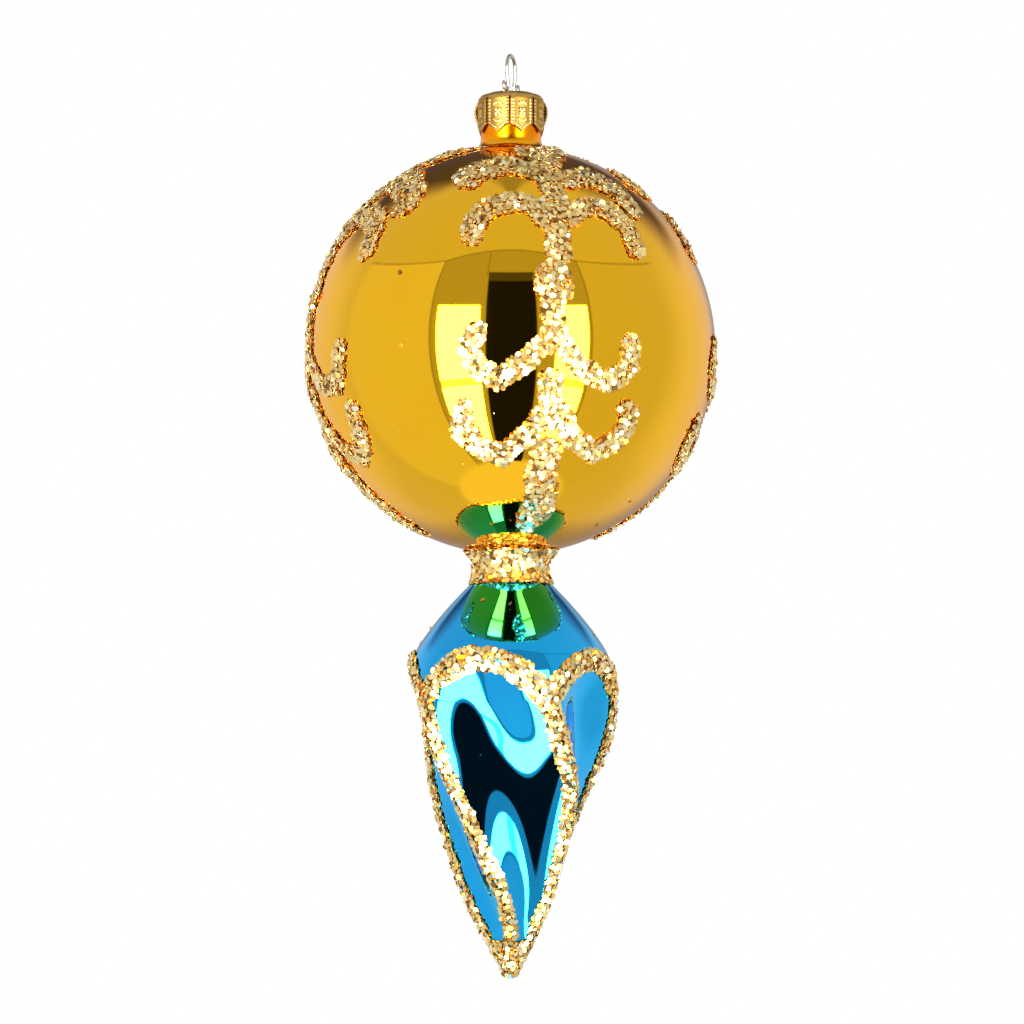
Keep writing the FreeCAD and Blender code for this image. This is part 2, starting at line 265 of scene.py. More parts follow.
def glassOutline(inset):
    # from the rim of the neck down to the top of the drop, at this depth under the surface
    neck = glass["neckRadius"] - inset
    atFlare, atWaist = bearing(ballMiddle, flareMiddle), bearing(ballMiddle, upperMiddle)
    steps = glass["neckSteps"]
    line = [Vector((neck, 0, glass["rim"] + (flareMiddle.z - glass["rim"]) * k / steps))
            for k in range(steps)]
    line += arcPoints(flareMiddle, glass["neckFlare"] + inset, 180, atFlare + 180,
                      glass["flareSteps"])
    line += arcPoints(ballMiddle, glass["ballRadius"] - inset, atFlare, atWaist,
                      glass["ballSteps"])[1:]
    line += arcPoints(upperMiddle, waistFlare + inset, atWaist + 180, 180,
                      glass["upperSteps"])[1:]
    sweep = glass["waistSweep"] + inset
    line += arcPoints(lowerMiddle, sweep, 180, lowerBearing(sweep), glass["lowerSteps"])[1:]
    return line


def goldBall(materials):
    outline = glassOutline(0)
    rings = outline + list(reversed(glassOutline(glass["wall"])))
    columns = glass["columns"]
    points = [radial(360 * k / columns, p.x, p.z) for p in rings for k in range(columns)]
    mesh = finishMesh("goldBall", points, ringFaces(len(rings), columns, True), 40)
    inside = len(outline) * columns
    for face in mesh.polygons:
        face.material_index = int(min(face.vertices) >= inside)
    setRevolvedUv(mesh, len(rings), columns)
    return linkPiece("goldBall", mesh, "glass", ["ball_glass"], materials)


# petals pressed into the drop between swirling ridges; tables run from top to tip
drop = {
    "radius": 0.0203,
    "shoulderLength": 0.0209,
    "tipRadius": 0.0005,
    "shoulder": [(0, 0), (0.06, 0.1), (0.17, 0.275), (0.335, 0.515), (0.5, 0.725),
                 (0.67, 0.895), (0.83, 0.975), (1, 1)],
    "taper": [(0.12, 0.985), (0.24, 0.905), (0.4, 0.755), (0.57, 0.585), (0.73, 0.415),
              (0.85, 0.24), (0.94, 0.09), (1, 0)],
    "petals": 5,
    "depth": 0.29,
    "sink": 0.015,
    "fade": 0.012,
    "archDepth": 0.0153,
    "archRise": 0.008,
    "archPower": 2.2,
    "leftRidge": [(0, -57), (0.2, -51), (0.4, -39), (0.55, -28), (0.7, -12), (0.85, 0), (1, 5)],
    "rightRidge": [(0, 21), (0.15, 32), (0.3, 47), (0.45, 54), (0.7, 58), (1, 60)],
    "rows": 240,
    "petalColumns": 48,
    "softness": 0.0008,  # how far a press line is rounded along the drop
    "softRows": 8,
    "innerRows": 30,
    "solidTip": 0.012,
    "leastBore": 0.0002,
    "normalSpan": 0.0003,
}
dropTop, dropTip = glass["dropTop"], glass["dropTip"]
archTop = dropTop - drop["archDepth"]
archFoot = archTop - drop["archRise"]
dropNeck = (glass["waistRadius"] + glass["waistSweep"]
            - math.sqrt(glass["waistSweep"] ** 2 - glass["dropStart"] ** 2))
widest = dropTop - drop["shoulderLength"]
dropProfile = [(dropTop - drop["shoulderLength"] * down,
                dropNeck + (drop["radius"] - dropNeck) * out) for down, out in drop["shoulder"]]
dropProfile += [(widest - (widest - dropTip) * down,
                 drop["tipRadius"] + (drop["radius"] - drop["tipRadius"]) * out)
                for down, out in drop["taper"]]


def ridgeEdges(z):
    # azimuths of the ridges at this height, front left one first
    down = min(max((archFoot - z) / (archFoot - dropTip), 0.0), 1.0)
    left, right = smooth(drop["leftRidge"], down), smooth(drop["rightRidge"], down)
    rest = (360 - (right - left)) / (drop["petals"] - 1)
    return [left] + [right + k * rest for k in range(drop["petals"])]


def petalRadius(across, z):
    # across runs -1 to 1 over a petal, from ridge to ridge
    archHere = archTop - drop["archRise"] * abs(across) ** drop["archPower"]
    sink = min(max((archHere - z) / drop["sink"], 0.0), 1.0)
    fade = min(1.0, (z - dropTip) / drop["fade"])
    depth = drop["depth"] * fade * sink * (2 - sink)
    return smooth(dropProfile, z) * (1 - depth * math.cos(math.pi * across / 2))


def onDrop(azimuth, z, lift=0.0):
    edges = ridgeEdges(z)
    turned = edges[0] + (azimuth - edges[0]) % 360
    petal = max(k for k in range(drop["petals"]) if edges[k] <= turned + 1e-9)
    across = 2 * (turned - edges[petal]) / (edges[petal + 1] - edges[petal]) - 1
    return radial(azimuth, petalRadius(across, z) + lift, z)


def dropNormal(azimuth, z):
    span = drop["normalSpan"]
    turn = math.degrees(span / max(onDrop(azimuth, z).xy.length, 0.001))
    around = onDrop(azimuth + turn, z) - onDrop(azimuth - turn, z)
    along = onDrop(azimuth, z + span) - onDrop(azimuth, max(z - span, dropTip))
    return around.cross(along).normalized()


def blueDrop(materials):
    rows, perPetal = drop["rows"], drop["petalColumns"]
    columns = perPetal * drop["petals"]
    heights = [dropTop + (dropTip - dropTop) * k / rows for k in range(rows + 1)]
    across = [-1 + 2 * k / perPetal for k in range(perPetal)]
    radii = numpy.array([[petalRadius(u, z) for u in across] for z in heights])
    # the glass is blown, so no press line is sharp along its length
    reach = drop["softRows"]
    step = (dropTop - dropTip) / rows
    weights = numpy.exp(-0.5 * (numpy.arange(-reach, reach + 1) * step / drop["softness"]) ** 2)
    weights /= weights.sum()
    padded = numpy.vstack([2 * radii[:1] - radii[reach:0:-1], radii,
                           2 * radii[-1:] - radii[-2:-reach - 2:-1]])
    radii = sum(w * padded[k:k + rows + 1] for k, w in enumerate(weights))
    points = []
    for i, z in enumerate(heights):
        edges = ridgeEdges(z)
        for petal in range(drop["petals"]):
            width = edges[petal + 1] - edges[petal]
            points += [radial(edges[petal] + width * (u + 1) / 2, radii[i][k], z)
                       for k, u in enumerate(across)]
    outerRings = rows + 1
    # the inner wall, from the shared ring at the waist down to the solid tip
    innerRows = drop["innerRows"]
    bottom = dropTip + drop["solidTip"]
    for i in range(innerRows + 1):
        z = bottom + (dropTop - bottom) * i / innerRows
        edges = ridgeEdges(z)
        for petal in range(drop["petals"]):
            width = edges[petal + 1] - edges[petal]
            bores = [max(petalRadius(u, z) - glass["wall"], drop["leastBore"]) for u in across]
            points += [radial(edges[petal] + width * (u + 1) / 2, bore, z)
                       for u, bore in zip(across, bores)]
    faces = ringFaces(outerRings, columns)
    start = outerRings * columns
    faces += [tuple(start + v for v in f) for f in ringFaces(innerRows + 1, columns)]
    lastInner = start + innerRows * columns
    faces += [(lastInner + k, lastInner + (k + 1) % columns, (k + 1) % columns, k)
              for k in range(columns)]
    faces.append(tuple(range(rows * columns, (rows + 1) * columns)))
    faces.append(tuple(range(start, start + columns)))
    mesh = finishMesh("blueDrop", points, faces, 50)
    for face in mesh.polygons:
        face.material_index = int(min(face.vertices) >= start)
    setRevolvedUv(mesh, outerRings + innerRows + 1, columns)
    return linkPiece("blueDrop", mesh, "glass", ["drop_glass"], materials)


# hexagonal flakes in two layers, small ones in the glue under large ones
glitter = {
    "thickness": 0.00006,
    "underSize": (0.0008, 0.0011),
    "underSpacing": 0.0006,
    "overSize": (0.0009, 0.0013),
    "overSpacing": 0.00074,
    "spread": 1.18,
    "tilt": 15.0,
    "tiltWild": 38.0,
    "tiltMost": 60.0,
    "wildShare": 0.22,
    "height": 0.00062,
    "underLift": (0.00012, 0.0001),  # least, and how much more by chance
    "overLift": 0.0002,
    "edgeShare": 0.1,  # no upper flakes nearer the edge than this
    "lump": 0.3,
    "sprigLumps": 320,
    "sprigArea": 3.2e-8,  # square metres to a try at a flake
    "outlineArea": 4.0e-8,
    "collarTries": 9000,
    "tipTries": 3200,
    "straySize": 0.0011,
    "strayLift": 0.00006,
    "straysOnBall": 8,
    "straysOnDrop": 6,
    "sprigTurn": 12.0,
    "sprigs": 4,
    "collarAngle": 61.0,
    "collarUpper": 0.58,  # share of the flakes above the waist's narrowest ring
    "outlineWidth": (0.0044, 0.0028),
    "outlineStart": -0.9,
    "archSteps": 32,
    "ridgeSteps": 40,
    "tipOverlap": 0.0003,
    "tipCover": 0.0072,
    "tipNib": 0.001,
}

# strokes of a sprig: width in metres, then degrees to the right of the stem and degrees
# above the ball's middle
sprigStrokes = [
    (0.0044, [(9, 64), (4, 39), (1, 21)]),
    (0.0034, [(-2, 66), (12, 66), (24, 67)]),
    (0.0034, [(2, 50), (-6, 55), (-16, 57), (-26, 54), (-32, 49)]),
    (0.0034, [(8, 48), (20, 52), (29, 50), (35, 45), (37, 39)]),
    (0.0033, [(0, 33), (-6, 38), (-12, 39), (-19, 37), (-23, 32), (-24, 27)]),
    (0.0033, [(7, 33), (17, 38), (24, 37), (28, 31), (29, 24)]),
    (0.0060, [(0, 14), (0, 11)]),
    (0.0040, [(0, 8), (0, -3)]),
    (0.0033, [(-3, -4), (-9, -10), (-15, -13), (-21, -11), (-24, -6), (-22, 0)]),
    (0.0033, [(2, -4), (7, -9), (12, -13), (18, -13), (22, -9), (23, -3)]),
    (0.0038, [(-1, -14), (0, -25)]),
    (0.0032, [(-3, -24), (-8, -30), (-15, -35), (-22, -33), (-27, -28), (-26, -22)]),
    (0.0032, [(3, -23), (8, -30), (16, -34), (22, -30), (25, -25), (25, -21)]),
    (0.0052, [(-1, -35), (-1, -42), (1, -49), (0, -57)]),
]


def spacedOut(points, spacing):
    # indexes of points kept so that no two are nearer than the spacing
    cells, kept = {}, []
    near = [(i, j, k) for i in (-1, 0, 1) for j in (-1, 0, 1) for k in (-1, 0, 1)]
    for index, p in enumerate(points):
        x, y, z = (int(c // spacing) for c in p)
        clash = any((p - q).length < spacing for i, j, k in near
                    for q in cells.get((x + i, y + j, z + k), ()))
        if not clash:
            cells.setdefault((x, y, z), []).append(p)
            kept.append(index)
    return kept


def twoLayers(spots, dice):
    # spots are (place, normal, depth into the line 0 at its edge to 1 at its middle)
    dice.shuffle(spots)
    flakes = []
    least, more = glitter["underLift"]
    for k in spacedOut([s[0] for s in spots], glitter["underSpacing"]):
        place, normal, _ = spots[k]
        lift = least + more * dice.random()
        flakes.append((place, normal, dice.uniform(*glitter["underSize"]), lift, 0))
    dice.shuffle(spots)
    inner = [s for s in spots if s[2] > glitter["edgeShare"]]
    low = glitter["overLift"]
    for k in spacedOut([s[0] for s in inner], glitter["overSpacing"]):
        place, normal, depth = inner[k]
        mound = math.sqrt(max(1 - (1 - depth) ** 2, 0.0))
        lift = low + (glitter["height"] - low) * mound * dice.uniform(0.75, 1.0)
        flakes.append((place, normal, dice.uniform(*glitter["overSize"]), lift, 1))
    return flakes


def flakeMesh(name, flakes, dice):
    points, faces, flakeDraws = [], [], []
    ring = [(math.cos(math.pi * k / 3), math.sin(math.pi * k / 3)) for k in range(6)]
    for place, normal, size, lift, layer in flakes:
        side = normal.orthogonal().normalized()
        side.rotate(Matrix.Rotation(dice.uniform(0, 2 * math.pi), 3, normal))
        wild = dice.random() < glitter["wildShare"] * (0.4 + layer)
        lean = dice.gauss(0, glitter["tiltWild"] if wild else glitter["tilt"])
        lean = math.radians(min(max(lean, -glitter["tiltMost"]), glitter["tiltMost"]))
        ahead = normal.cross(side)
        face = normal * math.cos(lean) + ahead * math.sin(lean)
        ahead = face.cross(side)
        middle = place + normal * lift
        start = len(points)
        for half in (0.5, -0.5):
            shift = middle + face * glitter["thickness"] * half
            points += [shift + (side * c + ahead * s) * size / 2 for c, s in ring]
        faces.append(tuple(start + k for k in range(6)))
        faces.append(tuple(start + 11 - k for k in range(6)))
        faces += [(start + k, start + 6 + k, start + 6 + (k + 1) % 6, start + (k + 1) % 6)
                  for k in range(6)]
        # the first draw also picks which flakes the foil paints as glints or as shade
        flakeDraw = (dice.random(), dice.random(), float(layer), 1.0)
        flakeDraws += [flakeDraw] * 12
    mesh = bpy.data.meshes.new(name)
    mesh.from_pydata([tuple(p) for p in points], [], faces)
    tint = mesh.color_attributes.new("flake", "FLOAT_COLOR", "POINT")
    tint.data.foreach_set("color", [c for flakeDraw in flakeDraws for c in flakeDraw])
    # each flake has a cell of its own in the map
    layer = mesh.uv_layers.new(name="OFBake")
    across = math.ceil(math.sqrt(len(flakes)))
    for k, loop in enumerate(mesh.loops):
        flake, corner = divmod(loop.vertex_index, 12)
        reach = 0.34 if corner < 6 else 0.46
        c, s = ring[corner % 6]
        layer.data[k].uv = ((flake % across + 0.5 + reach * c) / across,
                            (flake // across + 0.5 + reach * s) / across)
    return mesh


def glitterPiece(name, flakes, nodes, materials, dice):
    mesh = flakeMesh(name, flakes, dice)
    return linkPiece(name, mesh, "glass", nodes, materials)


def sprigSpots(seed):
    dice = random.Random(seed)
    radius = glass["ballRadius"]
    segments = []
    for width, stroke in sprigStrokes:
        places = []
        for right, above in stroke:
            lon = math.radians(right + dice.uniform(-0.7, 0.7))
            lat = math.radians(above + dice.uniform(-0.7, 0.7))
            places.append((radius * math.cos(lat) * math.sin(lon), radius * math.sin(lat)))
        half = width / 2 * glitter["spread"]
        segments += [(a, b, half) for a, b in zip(places, places[1:])]
    spots = []
    for a, b, half in segments:
        run = math.hypot(b[0] - a[0], b[1] - a[1])
        depthScale = radius / math.sqrt(max(radius ** 2 - a[0] ** 2 - a[1] ** 2, 0.0001 * radius))
        count = int((run + 2 * half) * 2 * half * depthScale / glitter["sprigArea"])
        for _ in range(count):
            along = dice.uniform(-half, run + half) / run
            x = a[0] + (b[0] - a[0]) * along
            z = a[1] + (b[1] - a[1]) * along
            offset = dice.uniform(-half, half) * 1.15
            x -= (b[1] - a[1]) / run * offset
            z += (b[0] - a[0]) / run * offset
            over = max(-along * run, (along - 1) * run, 0.0)
            bumps = noise.noise(Vector((x, z, seed * 0.01)) * glitter["sprigLumps"])
            lump = 1 + glitter["lump"] * bumps
            share = math.hypot(over, offset) / (half * lump)
            if share < 1:
                y = -math.sqrt(radius ** 2 - x ** 2 - z ** 2)
                normal = Vector((x, y, z)) / radius
                spots.append((ballMiddle + normal * radius, normal, 1 - share))
    return spots


def glitterSprigs(materials):
    for k in range(glitter["sprigs"]):
        dice = random.Random(40 + k)
        turn = Matrix.Rotation(math.radians(glitter["sprigTurn"] + 360 * k / glitter["sprigs"]),
                               3, "Z")
        spots = [(turn @ p, turn @ n, depth) for p, n, depth in sprigSpots(40 + k)]
        name = "glitterSprig%d" % (k + 1)
        glitterPiece(name, twoLayers(spots, dice), ["glitter_sprig_%d" % (k + 1)], materials, dice)


def glitterCollar(materials):
    dice = random.Random(7)
    spots = []
    for _ in range(glitter["collarTries"]):
        azimuth = dice.uniform(0, 360)
        if dice.random() < glitter["collarUpper"]:
            middle, radius = upperMiddle, waistFlare
            angle = 180 - dice.uniform(0, glitter["collarAngle"])
        else:
            middle, radius = lowerMiddle, glass["waistSweep"]
            angle = dice.uniform(180, lowerBearing(radius))
        a = math.radians(angle)
        out = Vector((math.cos(a), 0, math.sin(a)))
        place = middle + out * radius
        down = (glass["waistHeight"] - place.z) / glass["dropStart"]
        up = (180 - angle) / glitter["collarAngle"]
        depth = min(1.0, 5 * (1 - max(down, up)))
        spots.append((radial(azimuth, place.x, place.z), radial(azimuth, -out.x, -out.z), depth))
    glitterPiece("glitterCollar", twoLayers(spots, dice), ["glitter_collar"], materials, dice)


def outlineSpots(petal, dice):
    # over the petal's arch, then down the ridge on its right
    tipStart = dropTip + glitter["tipCover"]
    path = []
    start, steps = glitter["outlineStart"], glitter["archSteps"]
    for k in range(steps + 1):
        across = start + (1 - start) * k / steps
        z = archTop - drop["archRise"] * abs(across) ** drop["archPower"]
        edges = ridgeEdges(z)
        width = edges[petal + 1] - edges[petal]
        path.append((edges[petal] + width * (across + 1) / 2, z))
    steps = glitter["ridgeSteps"]
    for k in range(1, steps + 1):
        z = archFoot + (tipStart + glitter["tipOverlap"] - archFoot) * k / steps
        path.append((ridgeEdges(z)[petal + 1], z))
    spots = []
    for (fromTurn, fromZ), (toTurn, toZ) in zip(path, path[1:]):
        r = onDrop(fromTurn, fromZ).xy.length
        turn = math.radians(toTurn - fromTurn) * r
        run = math.hypot(turn, toZ - fromZ)
        down = min(max((archFoot - fromZ) / (archFoot - tipStart), 0.0), 1.0)
        wide, narrow = glitter["outlineWidth"]
        half = (wide + (narrow - wide) * down) / 2
        for _ in range(int(run * half * 2 / glitter["outlineArea"])):
            along = dice.random()
            offset = dice.uniform(-1.1, 1.1) * half
            bumps = noise.noise(Vector((fromTurn * 0.05, fromZ * 300, petal + along)))
            lump = 1 + glitter["lump"] * bumps
            share = abs(offset) / (half * lump)
            if share >= 1:
                continue
            z = fromZ + (toZ - fromZ) * along - turn / run * offset
            azimuth = fromTurn + (toTurn - fromTurn) * along
            azimuth += math.degrees((toZ - fromZ) / run * offset / max(r, 0.001))
            z = max(z, dropTip + 0.0005)
            spots.append((onDrop(azimuth, z), dropNormal(azimuth, z), 1 - share))
    return spots


def glitterOutlines(materials):
    for petal in range(drop["petals"]):
        dice = random.Random(60 + petal)
        flakes = twoLayers(outlineSpots(petal, dice), dice)
        name = "glitterOutline%d" % (petal + 1)
        glitterPiece(name, flakes, ["glitter_outline_%d" % (petal + 1)], materials, dice)


def glitterTip(materials):
    dice = random.Random(81)
    spots = []
    for _ in range(glitter["tipTries"]):
        azimuth = dice.uniform(0, 360)
        z = dropTip + dice.uniform(glitter["tipNib"] * 0.6, glitter["tipCover"])
        spots.append((onDrop(azimuth, z), dropNormal(azimuth, z), 0.8))
    glitterPiece("glitterTip", twoLayers(spots, dice), ["glitter_tip"], materials, dice)


def strayFlakes(materials):
    # single flakes that fell onto the lacquer
    dice = random.Random(93)
    flakes = []
    size, lift = glitter["straySize"], glitter["strayLift"]
    fixed = [(-51.5, -29.0)]
    for azimuth, above in fixed + [(dice.uniform(0, 360), dice.uniform(-65, 60))
                                   for _ in range(glitter["straysOnBall"])]:
        lat = math.radians(above)
        normal = radial(azimuth, math.cos(lat), math.sin(lat))
        flakes.append((ballMiddle + normal * glass["ballRadius"], normal, size, lift, 0))
    for _ in range(glitter["straysOnDrop"]):
        azimuth, z = dice.uniform(0, 360), dropTop - dice.uniform(0.003, 0.012)
        flakes.append((onDrop(azimuth, z), dropNormal(azimuth, z), size, lift, 0))
    mesh = flakeMesh("strayFlakes", flakes, dice)
    return linkPiece("strayFlakes", mesh, "glass", [], materials)


# a domed top and eight pointed petals, stamped with beads and a small flower
cap = {
    "top": capHigh[2],
    "height": capHigh[2] - capLow[2],
    "sheet": 0.00025,
    "gap": 0.00005,
    "petals": 8,
    "firstSlit": -2.0,
    "slitStart": 0.0016,
    "slitWidth": 0.00035,
    "pointLength": 0.0017,
    "pointBlunt": 0.00012,
    "bulge": 0.0007,
    "bulgeEnd": 0.0066,
    "bulgeSkew": 0.78,
    "edgeRun": 0.0011,
    "edgeStart": 0.00085,
    "edgeEnd": 0.002,
    "columns": 34,
    "rows": 46,
    "beadSize": 0.00026,
    "beadSpacing": 0.0006,
    "beadInset": 0.00042,
    "borderTop": 0.0003,
    "borderFoot": 0.0005,
    "stampDepth": 0.00014,
    "flowerMiddle": 0.0046,
    "flowerReach": 0.00058,
    "lobeSize": 0.00042,
    "arcReach": 0.00085,
    "arcAway": 0.00185,
    "arcBend": 0.0005,
    "arcSize": 0.0002,
    "domeRings": 10,
    "slopeRings": 6,
    "ringPlace": 0.82,
    "ringWidth": 0.0004,
    "ringHeight": 0.00012,
}
skirt = glass["neckRadius"] + cap["gap"] + cap["sheet"]
domeRadius = skirt - cap["edgeRun"]


def capRadius(below, rear):
    # radius of the skirt's outer face this far below the cap's top
    if below < cap["edgeEnd"]:
        turn = 1 - (below - cap["edgeStart"]) / (cap["edgeEnd"] - cap["edgeStart"])
        return domeRadius + cap["edgeRun"] * math.sin(math.acos(min(max(turn, 0.0), 1.0)))
    share = (below - cap["edgeEnd"]) / (cap["bulgeEnd"] - cap["edgeEnd"])
    if not rear or share >= 1:
        return skirt
    return skirt + cap["bulge"] * math.sin(math.pi * share ** cap["bulgeSkew"])


def petalHalf(below):
    # half the width of a petal of the cap this far below its top
    full = math.pi * skirt / cap["petals"] - cap["slitWidth"] / 2
    left = (cap["height"] - below) / cap["pointLength"]
    return cap["pointBlunt"] + (full - cap["pointBlunt"]) * min(max(left, 0.0), 1.0)


def stampMarks():
    # beads inside the petal's border, then a flower between two arcs, as (x, below, radius)
    full = petalHalf(0) - cap["beadInset"]
    corner = cap["height"] - cap["pointLength"]
    border = [(full, cap["edgeEnd"] + cap["borderTop"]), (full, corner),
              (0.0, cap["height"] - cap["borderFoot"])]
    marks = []
    for (x0, d0), (x1, d1) in zip(border, border[1:]):
        run = math.hypot(x1 - x0, d1 - d0)
        count = round(run / cap["beadSpacing"])
        for k in range(count):
            x, d = x0 + (x1 - x0) * k / count, d0 + (d1 - d0) * k / count
            marks += [(x, d, cap["beadSize"]), (-x, d, cap["beadSize"])]
    middle, reach = cap["flowerMiddle"], cap["flowerReach"]
    for k in range(4):
        a = math.radians(45 + 90 * k)
        marks.append((reach * math.cos(a), middle + reach * math.sin(a), cap["lobeSize"]))
    marks.append((0.0, middle, cap["beadSize"]))
    for k in range(-3, 4):
        a = math.radians(24 * k)
        x = cap["arcReach"] * math.sin(a)
        bend = cap["arcBend"] * (1 - math.cos(a))
        marks.append((x, middle - cap["arcAway"] + bend, cap["arcSize"]))
        marks.append((x, middle + cap["arcAway"] - bend, cap["arcSize"]))
    return marks


def crownCap(materials):
    columns, rows = cap["columns"], cap["rows"]
    marks = stampMarks()
    # stamped is 1 where the sheet stands out most, where the gilt is coloured brightest; low parts
    # are coloured darker
    points, faces, stamped = [], [], []
    slitHalf = math.degrees(cap["slitWidth"] / 2 / skirt)
    sector = 360 / cap["petals"]
    # columns of the dome, with the slits between the petals' columns
    turns = []
    for k in range(cap["petals"]):
        first = cap["firstSlit"] + sector * k + slitHalf
        turns += [first + (sector - 2 * slitHalf) * j / columns for j in range(columns + 1)]
    domeRings = []
    for k in range(1, cap["domeRings"] + 1):
        share = k / cap["domeRings"]
        domeRings.append((domeRadius * share, -cap["edgeStart"] * share ** 1.8))
    for k in range(1, cap["slopeRings"] + 1):
        share = (k / cap["slopeRings"]) ** 1.5
        below = cap["edgeStart"] + (cap["slitStart"] - cap["edgeStart"]) * share
        domeRings.append((capRadius(below, False), -below))
    points.append(Vector((0, 0, cap["top"])))
    stamped.append(0.6)
    for radius, below in domeRings:
        # a low raised ring round the dome
        ring = (radius - domeRadius * cap["ringPlace"]) / cap["ringWidth"]
        ring = max(0.0, 1 - ring ** 2)
        points += [radial(t, radius, cap["top"] + below + cap["ringHeight"] * ring)
                   for t in turns]
        stamped += [0.55 + 0.4 * ring] * len(turns)
    wide = len(turns)
    faces += [(0, 1 + j, 1 + (j + 1) % wide) for j in range(wide)]
    faces += [tuple(1 + v for v in f) for f in ringFaces(len(domeRings), wide)]
    lastRing = 1 + (len(domeRings) - 1) * wide
    for k in range(cap["petals"]):
        middle = cap["firstSlit"] + sector * (k + 0.5)
        rear = math.cos(math.radians(middle)) < 0
        above = [lastRing + k * (columns + 1) + j for j in range(columns + 1)]
        for i in range(1, rows + 1):
            below = cap["slitStart"] + (cap["height"] - cap["slitStart"]) * i / rows
            half = petalHalf(below)
            row = []
            for j in range(columns + 1):
                x = half * (-1 + 2 * j / columns)
                high = max(max(0.0, 1 - ((x - mx) ** 2 + (below - md) ** 2) / mr ** 2)
                           for mx, md, mr in marks)
                radius = capRadius(below, rear) + cap["stampDepth"] * high
                row.append(len(points))
                points.append(radial(middle + math.degrees(x / skirt), radius,
                                     cap["top"] - below))
                stamped.append(0.2 + 0.8 * high)
            faces += [(above[j], above[j + 1], row[j + 1], row[j]) for j in range(columns)]
            above = row
    mesh = bpy.data.meshes.new("capSheet")
    mesh.from_pydata([tuple(p) for p in points], [], faces)
    tint = mesh.color_attributes.new("stamp", "FLOAT_COLOR", "POINT")
    tint.data.foreach_set("color", [c for s in stamped for c in (s, s, s, 1.0)])
    sheet = bpy.data.objects.new("capSheet", mesh)
    bpy.context.scene.collection.objects.link(sheet)
    for material in materials:
        mesh.materials.append(material)
    thick = sheet.modifiers.new("sheet", "SOLIDIFY")
    thick.thickness = cap["sheet"]
    thick.offset = -1.0
    thick.material_offset = 1
    thick.use_rim = True
    view = bpy.context.evaluated_depsgraph_get()
    solid = bpy.data.meshes.new_from_object(sheet.evaluated_get(view))
    bpy.data.objects.remove(sheet)
    solid.shade_smooth()
    solid.set_sharp_from_angle(angle=math.radians(45))
    solid.materials.clear()
    return linkPiece("crownCap", solid, "cap", ["crown_cap"], materials)


# two legs in the neck, a coil on each side on the cap, and the tall loop
hanger = {
    "wire": 0.0007,
    "loopRadius": 0.003,
    "loopAzimuth": 20.0,
    "coilRadius": 0.0007,
    "coilGap": 0.00012,
    "coilDrop": 0.00015,
    "legSpacing": 0.00265,
    "legStraight": 0.0065,
    "legLength": 0.018,
    "legSpread": 0.0044,
    "legBow": 0.00015,
    "loopFoot": 0.72,  # where the loop's straight sides end, from coil to loop middle
    "loopLean": 0.3,
    "loopTurns": 6,
    "coilSteps": 10,
    "sides": 16,
    "spanSteps": 8,
}


def hangerPath():
    # one half in the loop's plane, x across it and y along the coils, then its other half
    shift = hanger["wire"] + hanger["coilGap"]
    coilMiddle = capHigh[2] - hanger["coilDrop"] + hanger["coilRadius"] + hanger["wire"] / 2
    loopMiddle = hanger["wire"] / 2 - hanger["loopRadius"]
    spacing, spread = hanger["legSpacing"], hanger["legSpread"]
    half = [Vector((spread, -shift / 2, coilMiddle - hanger["legLength"]))]
    half.append(Vector(((spread + spacing) / 2 + hanger["legBow"], -shift / 2,
                        coilMiddle - (hanger["legLength"] + hanger["legStraight"]) / 2)))
    half += [Vector((spacing, -shift / 2, coilMiddle - hanger["legStraight"] * share))
             for share in (1, 0.62, 0.4, 0.2)]
    steps = hanger["coilSteps"]
    for k in range(steps + 1):
        turn = math.pi - 2 * math.pi * k / steps
        half.append(Vector((spacing + hanger["coilRadius"] * (1 + math.cos(turn)),
                            shift * (k / steps - 0.5),
                            coilMiddle + hanger["coilRadius"] * math.sin(turn))))
    lean = shift * hanger["loopLean"]
    half.append(Vector((hanger["loopRadius"], lean,
                        coilMiddle + hanger["loopFoot"] * (loopMiddle - coilMiddle))))
    for k in range(1, hanger["loopTurns"] + 1):
        share = k / hanger["loopTurns"]
        a = math.radians(90 * share)
        half.append(Vector((hanger["loopRadius"] * math.cos(a), lean * (1 - share),
                            loopMiddle + hanger["loopRadius"] * math.sin(a))))
    whole = half + [Vector((-p.x, -p.y, p.z)) for p in reversed(half[:-1])]
    turn = Matrix.Rotation(math.radians(90 - hanger["loopAzimuth"]), 3, "Z")
    return [turn @ p for p in whole]


def throughPoints(points, steps):
    # a smooth line through every point, its speed evened out over uneven gaps
    ends = [2 * points[0] - points[1]] + points + [2 * points[-1] - points[-2]]
    line = []
    for a, b, c, d in zip(ends, ends[1:], ends[2:], ends[3:]):
        before, here, after = ((q - p).length ** 0.5 for p, q in ((a, b), (b, c), (c, d)))
        slopeB = ((b - a) / before * here + (c - b) / here * before) / (before + here) * here
        slopeC = ((c - b) / here * after + (d - c) / after * here) / (here + after) * here
        for k in range(steps):
            t = k / steps
            line.append(b * (2 * t**3 - 3 * t**2 + 1) + slopeB * (t**3 - 2 * t**2 + t)
                        + c * (3 * t**2 - 2 * t**3) + slopeC * (t**3 - t**2))
    return line + [points[-1]]


